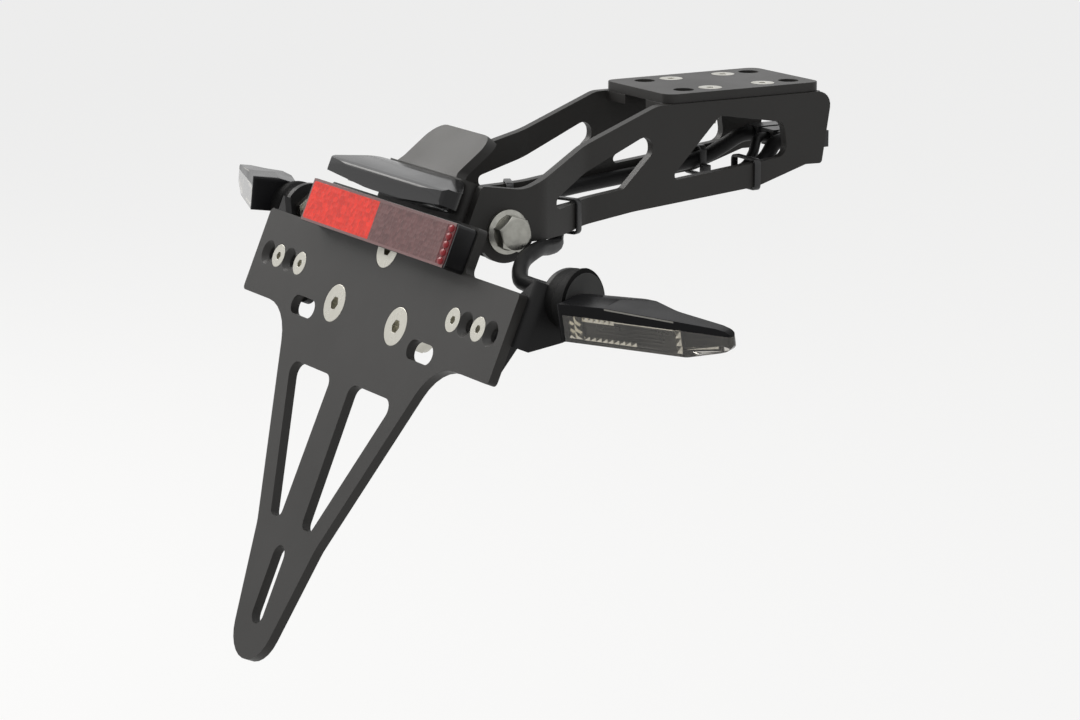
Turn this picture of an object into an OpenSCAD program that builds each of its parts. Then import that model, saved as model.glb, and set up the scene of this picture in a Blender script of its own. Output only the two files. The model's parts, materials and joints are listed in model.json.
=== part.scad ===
// Tail tidy for a sports motorcycle: a folded plate carrier with its lamp, reflector and
// indicators, held by two flat arms that run forward under the tail.
// X points to the rider's right, Y forward and Z up. The origin is the centre of the four
// frame bolts, on the top face of the mounting plate.

/* [Plate carrier] */
// Half of the width across the indicator wings of the plate
carrier_half_w = 105; // [98:1:112]
// Height of the indicator wings
wing_h = 36.5; // [33:0.5:42]
// Height from the shoulders down to the tip
carrier_h = 174.3; // [165:1:190]
// Sheet thickness of the plate carrier
carrier_t = 4; // [3:0.5:5]
// Half width of the tab behind the reflector
tab_half_w = 62; // [60:0.5:66]
// Height of the tab above the shoulders
tab_h = 18.5; // [17:0.5:21]
// Distance between neighbouring indicator holes
row_pitch = 9.75; // [9.5:0.05:10.2]
// Distance from the centre to the first indicator hole
row_start = 65.3; // [64:0.1:67]
// Depth of the row of indicator holes below the shoulders
row_drop = 18.2; // [16:0.1:20]
// Lean of the plate from upright
lean = 23; // [15:0.5:30]

/* [Tilt bracket] */
// Outer width over the two ears
bracket_w = 66.8; // [64:0.2:66.8]
// Sheet thickness of the tilt bracket
bracket_t = 4; // [3:0.5:4.5]
// Height of the web above the shoulders
web_top = 35; // [33:0.5:38]
// Reach of the web below the shoulders
web_low = 40; // [38:0.5:50]
// Outer radius of each ear's round end
ear_r = 12.3; // [11:0.1:12.6]
// Length of the tongue folded forward above the web
tongue_len = 23.3; // [21:0.1:26]
// Half width of the tongue
tongue_half_w = 22.8; // [21:0.1:24]

/* [Pivot] */
// Distance from the frame bolts back to the pivot
pivot_back = 123; // [118:1:128]
// Drop from the frame bolts' face to the pivot
pivot_drop = 46.5; // [44:0.5:49]
// Distance from the plate's front face to the pivot
pivot_ahead = 26.7; // [25:0.1:29]
// Height of the pivot above the shoulders
pivot_up = 21.6; // [20:0.1:23]
// Diameter of the pivot bolts
pivot_d = 8; // [8:0.5:8.5]

/* [Arms] */
// Sheet thickness of the arms
arm_t = 4; // [3:0.5:5]
// Gap between an ear and its arm
ear_gap = 0.1; // [0.05:0.05:0.3]
// Distance between the outer faces of the arms at the front
arm_front_w = 52; // [50:0.5:58]
// Radius of the boss round the pivot
boss_r = 12.7; // [12.5:0.1:14]
// Distance from the pivot to the arms' front end
arm_reach = 161; // [158:0.5:166]
// Width of the flange folded inward along the top
flange_w = 18; // [17:0.5:19]

/* [Mounting] */
// Thickness of the mounting plate
mount_t = 4; // [3:0.5:5]
// Spacing of the frame bolts across the bike
frame_bolt_x = 30; // [29:0.5:31]
// Spacing of the frame bolts along the bike
frame_bolt_y = 52; // [48:1:54]
// Diameter of the frame bolt holes
frame_bolt_d = 8.5; // [8:0.1:8.8]

/* [Reflector and plate light] */
// Length of the reflector
reflector_w = 122; // [116:0.5:123]
// Height of the reflector
reflector_h = 18.3; // [17:0.1:19]
// Depth of the reflector
reflector_t = 9.1; // [8:0.1:11]
// Length of the plate light
light_w = 95.4; // [90:0.2:100]
// Reach of the plate light behind the plate's face
light_reach = 11.4; // [10:0.1:14]
// Height of the plate light's underside above the shoulders
light_low = 20.5; // [19.5:0.1:22]
// Height of the plate light's rear face
light_band = 7.5; // [6:0.1:9]

/* [Indicators] */
// Length of an indicator body
indicator_len = 79.4; // [74:0.2:86]
// Depth of an indicator body at its root
indicator_deep = 19; // [17:0.5:22]
// Height of an indicator body at its root
indicator_h = 14.5; // [13:0.5:17]
// Forward sweep of the indicators
indicator_sweep = 21.7; // [15:0.1:28]
// Sheet thickness of the indicator brackets
wing_t = 3; // [2.5:0.5:3.5]
// Diameter of the leads
lead_d = 4.4; // [4:0.1:5]

/* [Hidden] */
$fn = 48;
sheet_black = [0.16, 0.16, 0.165];
zinc = [0.75, 0.76, 0.74];

// An outline with rounded corners: each corner is [x, y, radius]
function unit(v) = v / norm(v);
function corner(a, b, c, steps = 6) =
    let(p = [b[0], b[1]],
        u = unit([a[0], a[1]] - p),
        w = unit([c[0], c[1]] - p),
        half = acos(max(-1, min(1, u * w))) / 2,
        reach = b[2] / tan(half),
        mid = p + unit(u + w) * b[2] / sin(half),
        from = p + u * reach - mid,
        to = p + w * reach - mid,
        a0 = atan2(from[1], from[0]),
        a1 = atan2(to[1], to[0]),
        sweep = ((a1 - a0 + 540) % 360) - 180)
    b[2] <= 0 || half > 89.5 ? [p]
        : [for (i = [0:steps]) mid + b[2] * [cos(a0 + sweep * i / steps), sin(a0 + sweep * i / steps)]];
function rounded(pts) =
    let(n = len(pts))
    [for (i = [0:n - 1]) each corner(pts[(i + n - 1) % n], pts[i], pts[(i + 1) % n])];

// The plate's own frame: x across, y into the bike, z up the plate, from the middle of the
// front face at the height of the shoulders
module plate_frame() {
    translate([0, -pivot_back, -pivot_drop])
        rotate([-lean, 0, 0])
            translate([0, -pivot_ahead, -pivot_up])
                children();
}

// The arms' frame: the pivot is the origin
module pivot_frame() {
    translate([0, -pivot_back, -pivot_drop]) children();
}

// A flat outline drawn in x and z, made a sheet from y to y + t
module upright(t, y = 0) {
    translate([0, y + t, 0]) rotate([90, 0, 0]) linear_extrude(t) children();
}

// A flat outline drawn in y and z, made a sheet from x to x + t
module sideways(t, x = 0) {
    translate([x, 0, 0]) rotate([90, 0, 90]) linear_extrude(t) children();
}

// Both sides of something drawn on the right
module both() {
    children();
    mirror([1, 0, 0]) children();
}

// A rod along y from y0 to y1
module rod_y(r, y0, y1) {
    translate([0, y0, 0]) rotate([-90, 0, 0]) cylinder(r = r, h = y1 - y0);
}

// A rod along x from x0 to x1
module rod_x(r, x0, x1) {
    translate([x0, 0, 0]) rotate([0, 90, 0]) cylinder(r = r, h = x1 - x0);
}

// Countersunk screws: head radius, shank radius and drive size for each thread
m5 = 2.5;
m5_head = 5;
m5_hole = 2.75;
m5_nut = 8;
m5_nut_h = 5;
m5_socket = 3;
m8 = 4;
m8_head = 8;
m8_hole = 4.25;
m8_nut = 13;
m8_nut_h = 8;
m8_socket = 5;
head_gap = 0.15;
nut_gap = 0.05;
carrier_back = carrier_t;
web_front = carrier_t + bracket_t;
wing_front = carrier_t + wing_t;

// The hole for a countersunk screw, along y from the face at y = 0
module countersink(head_r, hole_r, depth) {
    translate([0, -1, 0]) rotate([-90, 0, 0]) cylinder(r = hole_r, h = depth + 2);
    rotate([-90, 0, 0]) cylinder(r1 = head_r + head_gap, r2 = hole_r, h = head_r + head_gap - hole_r);
}

// A countersunk screw with a hexagon socket, along y from the face at y = 0
module countersunk_screw(head_r, r, socket, length) {
    difference() {
        union() {
            rotate([-90, 0, 0]) cylinder(r1 = head_r, r2 = r, h = head_r - r);
            rod_y(r, head_r - r - 0.01, length);
        }
        translate([0, -1, 0]) rotate([-90, 0, 0])
            cylinder(d = socket / cos(30), h = 1 + head_r * 0.42, $fn = 6);
    }
}

// A locking nut along y from y = 0, its collar last
module locking_nut(flats, r, height) {
    collar = height * 0.3;
    difference() {
        union() {
            rotate([-90, 0, 0]) cylinder(d = flats / cos(30), h = height - collar, $fn = 6);
            rod_y(flats / 2 - 0.4, height - collar, height);
        }
        rod_y(r + nut_gap, -1, height + 1);
    }
}

// Plate carrier
side_slope = 0.447;
kink_drop = 122;
kink_half_w = 25.8;
tip_slope = 0.255;
tip_half_w = kink_half_w - tip_slope * (carrier_h - kink_drop);
neck_half_w = kink_half_w + side_slope * (kink_drop - wing_h);
rail_w = 9.6;
rib_half_w = 8.3;
window_top = 56;
window_low = 117;
window_out = neck_half_w - side_slope * (window_top - wing_h) - rail_w * 1.09;
window_end = neck_half_w - side_slope * (window_low - wing_h) - rail_w * 1.09;
tip_slot_r = 4.5;
tip_slot_top = 131;
tip_slot_low = 155;
obround_x = 50.2;
obround_z = -34.4;
obround_r = 4;
obround_len = 20;
carrier_low_x = 26.2;
carrier_low_z = -28.4;
carrier_top_z = -0.5;
stud_x = 46;
reflector_mid_z = reflector_h / 2 - 0.9;
row_x = [for (i = [0:3]) row_start + i * row_pitch];
screw_x = [row_x[0], row_x[2]];

function carrier_half() = [
    [tab_half_w, tab_h, 2],
    [tab_half_w, 0, 3],
    [carrier_half_w, 0, 2],
    [carrier_half_w, -wing_h, 2],
    [neck_half_w, -wing_h, 24],
    [kink_half_w, -kink_drop, 20],
    [tip_half_w, -carrier_h, tip_half_w * 1.27]];
function mirrored(pts) = [for (i = [len(pts) - 1:-1:0]) [-pts[i][0], pts[i][1], pts[i][2]]];

module carrier_window() {
    polygon(rounded([
        [rib_half_w, -window_top, 4.5],
        [window_out, -window_top, 4.5],
        [window_end, -window_low, 3.4],
        [rib_half_w + 1, -window_low, 3.4]]));
}

module obround(r, length) {
    polygon(rounded([
        [-length / 2, -r, r], [length / 2, -r, r], [length / 2, r, r], [-length / 2, r, r]]));
}

module plate_carrier() {
    color(sheet_black)
    plate_frame()
    difference() {
        upright(carrier_t) polygon(rounded(concat(carrier_half(), mirrored(carrier_half()))));
        both() upright(carrier_t + 2, -1) carrier_window();
        for (x = [-obround_x, obround_x]) translate([x, -1, obround_z])
            upright(carrier_t + 2) obround(obround_r, obround_len);
        translate([0, -1, -(tip_slot_top + tip_slot_low) / 2]) rotate([0, 90, 0]) upright(carrier_t + 2)
            obround(tip_slot_r, tip_slot_low - tip_slot_top + 2 * tip_slot_r);
        both() for (x = row_x) translate([x, 0, -row_drop]) countersink(m5_head, m5_hole, carrier_t);
        both() translate([carrier_low_x, 0, carrier_low_z]) countersink(m8_head, m8_hole, carrier_t);
        translate([0, 0, carrier_top_z]) countersink(m8_head, m8_hole, carrier_t);
        both() translate([stud_x, 0, reflector_mid_z]) rod_y(m5_hole, -1, carrier_t + 1);
    }
}

// Tilt bracket
web_half_w = bracket_w / 2;
bend_r = 5;
bend_relief = 3;
web_corner = 10;
tongue_lean = 30;
tongue_corner = 7.5;
tongue_base = [carrier_t, web_top];
tongue_up = [sin(tongue_lean), cos(tongue_lean)];
tongue_tip = tongue_base + tongue_len * tongue_up;
light_screw_x = 20;
light_screw_z = 28;
light_lead_z = 27;
light_lead_hole_r = 4;
m4 = 2;
m4_hole = 2.25;
pivot_gap = 0.08;
pivot_hole_r = pivot_d / 2 + pivot_gap;
ear_low = pivot_up - ear_r;

module tongue_section() {
    polygon(rounded([
        [carrier_t, web_top - 3, 0],
        [tongue_base[0], tongue_base[1], 2 * bracket_t],
        [tongue_tip[0], tongue_tip[1], 0],
        [tongue_tip[0] + bracket_t * tongue_up[1], tongue_tip[1] - bracket_t * tongue_up[0], 0],
        [web_front, web_top - bracket_t * tan(tongue_lean / 2), bracket_t],
        [web_front, web_top - 3, 0]]));
}

function web_half() = [
    [web_half_w - bend_r, web_top, 0],
    [web_half_w - bend_r, ear_low - bend_relief, bend_relief],
    [web_half_w, ear_low - bend_relief, 0.01],
    [web_half_w, -web_low, web_corner]];

module tilt_bracket() {
    color(sheet_black)
    plate_frame()
    difference() {
        union() {
            upright(bracket_t, carrier_t) polygon(rounded(concat(web_half(), mirrored(web_half()))));
            both() ear();
            both() ear_bend();
            intersection() {
                sideways(bracket_w, -web_half_w) tongue_section();
                upright(2 * tongue_tip[0], 0)
                    polygon(rounded(concat(tongue_half(), mirrored(tongue_half()))));
            }
        }
        for (x = [-carrier_low_x, carrier_low_x]) translate([x, 0, carrier_low_z])
            rod_y(m8_hole, 0, web_front + 1);
        translate([0, 0, carrier_top_z]) rod_y(m8_hole, 0, web_front + 1);
        translate([0, pivot_ahead, pivot_up]) rod_x(pivot_hole_r, -web_half_w - 1, web_half_w + 1);
        both() translate([light_screw_x, 0, light_screw_z]) rod_y(m4_hole, 0, web_front + 1);
        translate([0, 0, light_lead_z]) rod_y(light_lead_hole_r, 0, web_front + 1);
    }
}

function tongue_half() = [
    [tongue_half_w + 4, web_top - 3, 0],
    [tongue_half_w, web_top + 2, 4],
    [tongue_half_w, tongue_tip[1], tongue_corner]];

module ear() {
    sideways(bracket_t, web_half_w - bracket_t)
    union() {
        polygon([
            [carrier_t + bend_r, ear_low],
            [pivot_ahead, ear_low],
            [pivot_ahead, pivot_up + ear_r],
            [carrier_t + bend_r, web_top]]);
        translate([pivot_ahead, pivot_up]) circle(r = ear_r);
    }
}

module ear_bend() {
    translate([web_half_w - bend_r, carrier_t + bend_r, ear_low])
    intersection() {
        difference() {
            cylinder(r = bend_r, h = web_top - ear_low);
            translate([0, 0, -1]) cylinder(r = bend_r - bracket_t, h = web_top - ear_low + 2);
        }
        translate([0, -bend_r, 0]) cube([bend_r, bend_r, web_top - ear_low]);
    }
}

// Side arms
arm_in = web_half_w + ear_gap;
arm_out = arm_in + arm_t;
arm_front_out = arm_front_w / 2;
joggle_start = 17;
joggle_end = 43;
arm_bend_r = 14;
arm_top = pivot_drop - mount_t;
hole_back = pivot_back - frame_bolt_y / 2;
hole_front = pivot_back + frame_bolt_y / 2;
flange_start = hole_back - 14;
flange_end = hole_front + 10;
mount_screw_y = 13;

function arm_outline() = [
    [-11, 19, 1.5],
    [8.6, 15.9, 14],
    [arm_top * 2.597 - 32.8, arm_top, 12],
    [arm_reach + 3, arm_top, 6],
    [arm_reach - 2, 12.2, 1.5],
    [arm_reach - 10, 12.4, 5],
    [arm_reach - 34.3, 5.1, 14],
    [66, 0, 60],
    [30, -5, 30],
    [9, -5.2, 0],
    [0, -8, 0],
    [-8.5, -8, 0],
    [-21.3, -5.4, 6]];

function arm_plan(inset) = [
    [arm_out - inset, -40, 0],
    [arm_out - inset, joggle_start - inset * 0.22, arm_bend_r],
    [arm_front_out - inset, joggle_end - inset * 0.22, arm_bend_r],
    [arm_front_out - inset, arm_reach + 20, 0]];
function backwards(pts) = [for (i = [len(pts) - 1:-1:0]) pts[i]];

function arm_rear_window() = [
    [25.2, 10.1, 2.2],
    [75.5, 32.4, 4.2],
    [75.2, 23.2, 4],
    [61.3, 9.7, 3],
    [25.2, 5.4, 2.2]];

function arm_front_window() = [
    [83, 10.9, 1.8],
    [arm_reach - 53, arm_top - 6.2, 3],
    [arm_reach - 21.4, arm_top - 11.5, 4],
    [arm_reach - 19.2, 16.8, 5]];

module arm_windows() {
    polygon(rounded(arm_rear_window()));
    polygon(rounded(arm_front_window()));
}

module arm_right() {
    pivot_frame() {
        difference() {
            union() {
                intersection() {
                    difference() {
                        sideways(arm_out + 2, 0) polygon(rounded(arm_outline()));
                        sideways(arm_out + 4, -1) arm_windows();
                    }
                    translate([0, 0, -60]) linear_extrude(140)
                        polygon(rounded(concat(arm_plan(0), backwards(arm_plan(arm_t)))));
                }
                rod_x(boss_r, arm_in, arm_out);
                translate([arm_front_out - flange_w, flange_start, arm_top - arm_t])
                    cube([flange_w - arm_t / 2, flange_end - flange_start, arm_t]);
            }
            rod_x(pivot_hole_r, 0, arm_out + 2);
            for (y = [hole_back, hole_front]) translate([frame_bolt_x / 2, y, 0])
                cylinder(d = frame_bolt_d, h = arm_top + 1);
            for (y = [-mount_screw_y, mount_screw_y]) translate([frame_bolt_x / 2, pivot_back + y, 0])
                cylinder(r = m5_hole, h = arm_top + 1);
        }
    }
}

module side_arm_right() {
    color(sheet_black) arm_right();
}

module side_arm_left() {
    color(sheet_black) mirror([1, 0, 0]) arm_right();
}

// Mounting plate
mount_half_w = arm_front_out - 1;
mount_len = flange_end - flange_start;
mount_corner = 5;

module mounting_plate() {
    color(sheet_black)
    difference() {
        translate([0, flange_start - pivot_back, -mount_t]) linear_extrude(mount_t) polygon(rounded([
            [-mount_half_w, 0, mount_corner], [mount_half_w, 0, mount_corner],
            [mount_half_w, mount_len, mount_corner], [-mount_half_w, mount_len, mount_corner]]));
        both() for (y = [-frame_bolt_y / 2, frame_bolt_y / 2]) translate([frame_bolt_x / 2, y, -mount_t - 1])
            cylinder(d = frame_bolt_d, h = mount_t + 2);
        both() for (y = [-mount_screw_y, mount_screw_y]) translate([frame_bolt_x / 2, y, 0])
            rotate([-90, 0, 0]) countersink(m5_head, m5_hole, mount_t);
    }
}
// Fasteners of the mounting plate
module mounting_screws() {
    color(zinc)
    both() for (y = [-mount_screw_y, mount_screw_y]) translate([frame_bolt_x / 2, y, 0])
        rotate([-90, 0, 0]) countersunk_screw(m5_head, m5, m5_socket, mount_t + arm_t + m5_nut_h + 2);
}

module mounting_nuts() {
    color(zinc)
    both() for (y = [-mount_screw_y, mount_screw_y]) translate([frame_bolt_x / 2, y, -mount_t - arm_t])
        rotate([-90, 0, 0]) locking_nut(m5_nut, m5, m5_nut_h);
}

// Pivot bolts: a flange, a hexagon head and a plain shank
bolt_flange_r = 8.95;
bolt_flange_t = 1.4;
bolt_neck_h = 1.2;
bolt_head_h = 6.6;
bolt_turn = 12;
head_edge = 1.2;
washer_t = 1.6;

module pivot_bolt() {
    color(zinc)
    pivot_frame()
    union() {
        rod_x(pivot_d / 2, arm_in - bracket_t - washer_t - m8_nut_h - 3, arm_out + 0.1);
        rod_x(bolt_flange_r, arm_out, arm_out + bolt_flange_t);
        translate([arm_out + bolt_flange_t, 0, 0]) rotate([0, 90, 0]) {
            cylinder(r1 = bolt_flange_r, r2 = m8_nut / 2 + 0.7, h = bolt_neck_h);
            intersection() {
                rotate([0, 0, bolt_turn]) cylinder(d = m8_nut / cos(30), h = bolt_head_h, $fn = 6);
                union() {
                    cylinder(r = m8_head, h = bolt_head_h - head_edge);
                    translate([0, 0, bolt_head_h - head_edge])
                        cylinder(r1 = m8_nut / 2 + 1.1, r2 = m8_nut / 2 - 0.3, h = head_edge);
                }
            }
        }
    }
}
module pivot_bolt_right() { pivot_bolt(); }
module pivot_bolt_left() { mirror([1, 0, 0]) pivot_bolt(); }

module pivot_washers() {
    color(zinc)
    pivot_frame() both() difference() {
        rod_x(m8_head, web_half_w - bracket_t - washer_t, web_half_w - bracket_t);
        rod_x(pivot_hole_r, 0, web_half_w);
    }
}

module pivot_nut() {
    color(zinc)
    pivot_frame() translate([web_half_w - bracket_t - washer_t, 0, 0]) rotate([0, 0, 90])
        locking_nut(m8_nut, pivot_d / 2, m8_nut_h);
}
module pivot_nut_right() { pivot_nut(); }
module pivot_nut_left() { mirror([1, 0, 0]) pivot_nut(); }

// Fasteners of the plate carrier
module carrier_screws() {
    color(zinc) plate_frame() {
        both() translate([carrier_low_x, 0, carrier_low_z])
            countersunk_screw(m8_head, m8, m8_socket, web_front + m8_nut_h + 2);
        translate([0, 0, carrier_top_z])
            countersunk_screw(m8_head, m8, m8_socket, web_front + m8_nut_h + 2);
    }
}

module carrier_nuts() {
    color(zinc) plate_frame() {
        both() translate([carrier_low_x, web_front, carrier_low_z]) locking_nut(m8_nut, m8, m8_nut_h);
        translate([0, web_front, carrier_top_z]) locking_nut(m8_nut, m8, m8_nut_h);
    }
}

// Indicator brackets: a flange behind the plate and a wing that carries the indicator
wing_x = carrier_half_w + 5;
wing_bend_r = 5;
bend_top = 6.5;
bend_low = -20;
flange_in = 54;
flange_top = -3;
flange_low = -33;
stem_y = 19.1;
stem_z = 4.5;
wing_end_r = 11.5;
stem_r = 4;

module wing_outline() {
    union() {
        polygon(rounded([
            [carrier_back + wing_bend_r, bend_top, 0],
            [stem_y - 5, stem_z + 10, 0],
            [stem_y, stem_z, 0],
            [stem_y + 8, stem_z - 8.2, 0],
            [stem_y + 3.9, stem_z - 16.1, 6],
            [carrier_back + wing_bend_r, bend_low, 0]]));
        translate([stem_y, stem_z]) circle(r = wing_end_r, $fn = 96);
    }
}

module indicator_bracket() {
    color(sheet_black)
    plate_frame()
    difference() {
        union() {
            upright(wing_t, carrier_back) polygon(rounded([
                [flange_in, flange_top, 3], [carrier_half_w - 9, flange_top, 4],
                [wing_x - wing_bend_r, bend_top, 0], [wing_x - wing_bend_r, bend_low, 0],
                [carrier_half_w - 6, flange_low, 4], [flange_in, flange_low, 6]]));
            translate([wing_x - wing_bend_r, carrier_back + wing_bend_r, bend_low]) intersection() {
                difference() {
                    cylinder(r = wing_bend_r, h = bend_top - bend_low);
                    translate([0, 0, -1]) cylinder(r = wing_bend_r - wing_t, h = bend_top - bend_low + 2);
                }
                translate([0, -wing_bend_r, 0]) cube([wing_bend_r, wing_bend_r, bend_top - bend_low]);
            }
            sideways(wing_t, wing_x - wing_t) wing_outline();
        }
        for (x = row_x) translate([x, 0, -row_drop]) rod_y(m5_hole, 0, wing_front + 1);
        translate([0, stem_y, stem_z]) rod_x(stem_r + 0.2, wing_x - wing_t - 1, wing_x + 1);
    }
}
module indicator_bracket_right() { indicator_bracket(); }
module indicator_bracket_left() { mirror([1, 0, 0]) indicator_bracket(); }

module bracket_screws() {
    color(zinc) plate_frame() both() for (x = screw_x) translate([x, 0, -row_drop])
        countersunk_screw(m5_head, m5, m5_socket, wing_front + m5_nut_h + 1.5);
}

module bracket_nuts() {
    color(zinc) plate_frame() both() for (x = screw_x) translate([x, wing_front, -row_drop])
        locking_nut(m5_nut, m5, m5_nut_h);
}

// Reflector: a housing with a rim, and a lens set into it
rim = 1;
rim_drop = 0.3;
lens_seat = 3;
stud_r = 2.5;
reflector_corner = 1.5;

module reflector_block(inset, y0, y1) {
    half_w = reflector_w / 2 - inset;
    half_h = reflector_h / 2 - inset;
    translate([0, 0, reflector_mid_z]) upright(y1 - y0, y0) polygon(rounded([
        [-half_w, -half_h, reflector_corner], [half_w, -half_h, reflector_corner],
        [half_w, half_h, reflector_corner], [-half_w, half_h, reflector_corner]]));
}

module reflector_housing() {
    color("black")
    plate_frame() union() {
        difference() {
            reflector_block(0, rim_drop - reflector_t, 0);
            reflector_block(rim, -reflector_t - 1, lens_seat - reflector_t);
        }
        both() translate([stud_x, 0, reflector_mid_z]) rod_y(stud_r, -1, carrier_back + m5_nut_h + 1.5);
    }
}

module reflector_lens() {
    color([0.6, 0.03, 0.02]) plate_frame() reflector_block(rim, -reflector_t, lens_seat - reflector_t);
}

module reflector_nuts() {
    color(zinc) plate_frame() both() translate([stud_x, carrier_back, reflector_mid_z])
        locking_nut(m5_nut, stud_r, m5_nut_h);
}

// Plate light: a duck-bill housing with a lamp board behind a clear window in its underside
light_half = light_w / 2;
light_nose = -light_reach - 2.6;
light_sag = 0.8;
light_seat = carrier_t;
window_half = 36;
window_in = -1;
window_out_y = -8;
light_window_t = 1.6;
light_cavity_h = 6.5;
board_t = 1.2;
board_z = light_low + light_cavity_h - 1 - board_t;
led = [3.6, 3, 1];
led_x = [-24, 0, 24];

module light_shape() {
    intersection() {
        translate([0, 0, light_low - 2]) linear_extrude(web_top - light_low + 1.5) polygon(rounded([
            [-light_half, light_nose + 1.2, 1.6], [-light_half * 0.5, light_nose, 60],
            [light_half * 0.5, light_nose, 60], [light_half, light_nose + 1.2, 1.6],
            [light_half, light_nose + 10, 4], [web_half_w - 1, light_seat, 0],
            [-web_half_w + 1, light_seat, 0], [-light_half, light_nose + 10, 4]]));
        sideways(light_w + 2, -light_half - 1) polygon(rounded([
            [light_seat, light_low - light_sag, 0], [-light_reach, light_low - light_sag, 0],
            [light_nose, light_low + light_band - 1.5, 1.5], [light_nose + 2, light_low + light_band, 3],
            [-2, web_top - 1.2, 14], [light_seat, web_top - 0.6, 0]]));
        upright(40, -30) polygon(rounded([
            [-light_half - 1, light_low + 1.5, 0], [0, light_low - 1.8, 160],
            [light_half + 1, light_low + 1.5, 0],
            [light_half + 1, light_low + light_band + 0.4, 0], [light_half * 0.45, web_top + 2, 30],
            [-light_half * 0.45, web_top + 2, 30], [-light_half - 1, light_low + light_band + 0.4, 0]]));
    }
}

module plate_light_housing() {
    color([0.05, 0.05, 0.055])
    plate_frame() difference() {
        light_shape();
        translate([-window_half, window_out_y, light_low - 1])
            cube([2 * window_half, window_in - window_out_y, light_cavity_h]);
        both() translate([light_screw_x, 0, light_screw_z])
            rod_y(m4 + nut_gap, light_seat - 4.5, light_seat + 1);
        translate([0, 0, light_lead_z]) rod_y(light_lead_hole_r, light_seat - 2, light_seat + 1);
    }
}

module plate_light_lens() {
    color([0.9, 0.92, 0.95]) plate_frame()
        translate([-window_half, window_out_y, light_low])
            cube([2 * window_half, window_in - window_out_y, light_window_t]);
}

module plate_light_board() {
    color([0.85, 0.85, 0.8]) plate_frame() {
        translate([-window_half + 1, window_out_y + 0.8, board_z])
            cube([2 * window_half - 2, window_in - window_out_y - 1.6, board_t]);
        for (x = led_x) translate([x - led[0] / 2, window_out_y + 2, board_z - led[2]]) cube(led);
    }
}

module plate_light_screws() {
    color(zinc) plate_frame() both() translate([light_screw_x, 0, light_screw_z]) difference() {
        union() {
            rod_y(m4, light_seat - 4, web_front + 0.1);
            rod_y(3.6, web_front, web_front + 2.2);
        }
        translate([0, web_front + 1, 0]) rotate([-90, 0, 0]) cylinder(d = 2.9, h = 2, $fn = 6);
    }
}

// Indicators: swept forward, with a smoked lens along the rear side and a black housing
ind_half_deep = indicator_deep / 2;
ind_top = indicator_h / 2;
lens_split = -1.5;
ridge_root = 3.2;
ridge_tip = 0.4;
lens_start = 3;
lamp_wall = 2;
lamp_back = 1;
lamp_gap = 0.3;
lamp_start = indicator_len * 0.075;
lamp_end = indicator_len * 0.68;
foot_len = 9.5;
// Each indicator sits a little differently on its soft stem: turn about the stem, drop and set
// back of the body, and radius of the stem's neck where it meets the body
set_right = [8.5, 1.9, 8.3, 13.2];
set_left = [-6, -4.1, 10.3, 10.8];

module indicator_frame(set) {
    translate([wing_x + foot_len, 0, 0]) stem_axis() rotate([set[0], 0, 0]) translate([0, 0, -set[1]])
        rotate([0, 0, indicator_sweep]) translate([0, -set[2], 0])
            children();
}

// The stem's axis, level in the part's frame
module stem_axis() {
    plate_frame() translate([0, stem_y, stem_z]) rotate([lean, 0, 0]) children();
}

module indicator_plan() {
    polygon(rounded([
        [0, -ind_half_deep, 2], [indicator_len, -ind_half_deep, 1.6], [indicator_len - 1, -6, 1],
        [indicator_len * 0.62, 0.2, 30], [indicator_len * 0.35, ind_half_deep, 8], [0, ind_half_deep, 3]]));
}

module indicator_side() {
    polygon(rounded([
        [0, -ind_top, 1], [indicator_len * 0.73, -ind_top - 1.6, 10], [indicator_len, -ind_top + 2.4, 2.5],
        [indicator_len, ind_top - 4.5, 2], [indicator_len * 0.28, ind_top, 20], [0, ind_top, 2]]));
}

module indicator_full() {
    intersection() {
        translate([0, 0, -20]) linear_extrude(40) indicator_plan();
        upright(60, -30) indicator_side();
        sideways(indicator_len + 2, -1) polygon([
            [-ind_half_deep - 1, -ind_top - 2.5], [ind_half_deep + 1, -ind_top + 2],
            [ind_half_deep + 1, ind_top - 2], [-ind_half_deep - 1, ind_top + 2.5]]);
    }
}

module lens_zone(gap = 0) {
    translate([0, lens_split - gap, 0]) rotate([90, 0, 0]) linear_extrude(40) polygon([
        [lens_start - gap, -20], [indicator_len + 5, -20],
        [indicator_len + 5, ridge_tip + gap], [lens_start - gap, ridge_root + gap]]);
}

module lamp_pocket(inset) {
    intersection() {
        translate([0, 0, -20]) linear_extrude(40) polygon([
            [lamp_start + inset, -ind_half_deep + lamp_wall + inset],
            [lamp_end - inset, -ind_half_deep + lamp_wall + inset],
            [lamp_end - inset, lens_split - lamp_back - inset],
            [lamp_start + inset, lens_split - lamp_back - inset]]);
        upright(60, -30) polygon([
            [lamp_start + inset, -ind_top + lamp_wall + inset],
            [lamp_end - inset, -ind_top + lamp_wall + inset],
            [lamp_end - inset, ridge_tip - 0.8 - inset],
            [lamp_start + inset, ridge_root - 1.6 - inset]]);
    }
}

module indicator_housing(set) {
    color([0.05, 0.05, 0.055]) indicator_frame(set) difference() {
        indicator_full();
        lens_zone();
    }
}

module indicator_lens(set) {
    color([0.45, 0.45, 0.42]) indicator_frame(set) difference() {
        intersection() { indicator_full(); lens_zone(); }
        lamp_pocket(0);
    }
}

module indicator_lamp(set) {
    color([0.8, 0.78, 0.7]) indicator_frame(set) lamp_pocket(lamp_gap);
}

// Stem: a rubber foot on the wing, cut to meet the indicator, and a hollow threaded stud
foot_step = 1.3;
foot_t = 5;
stud_out = 9;

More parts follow.
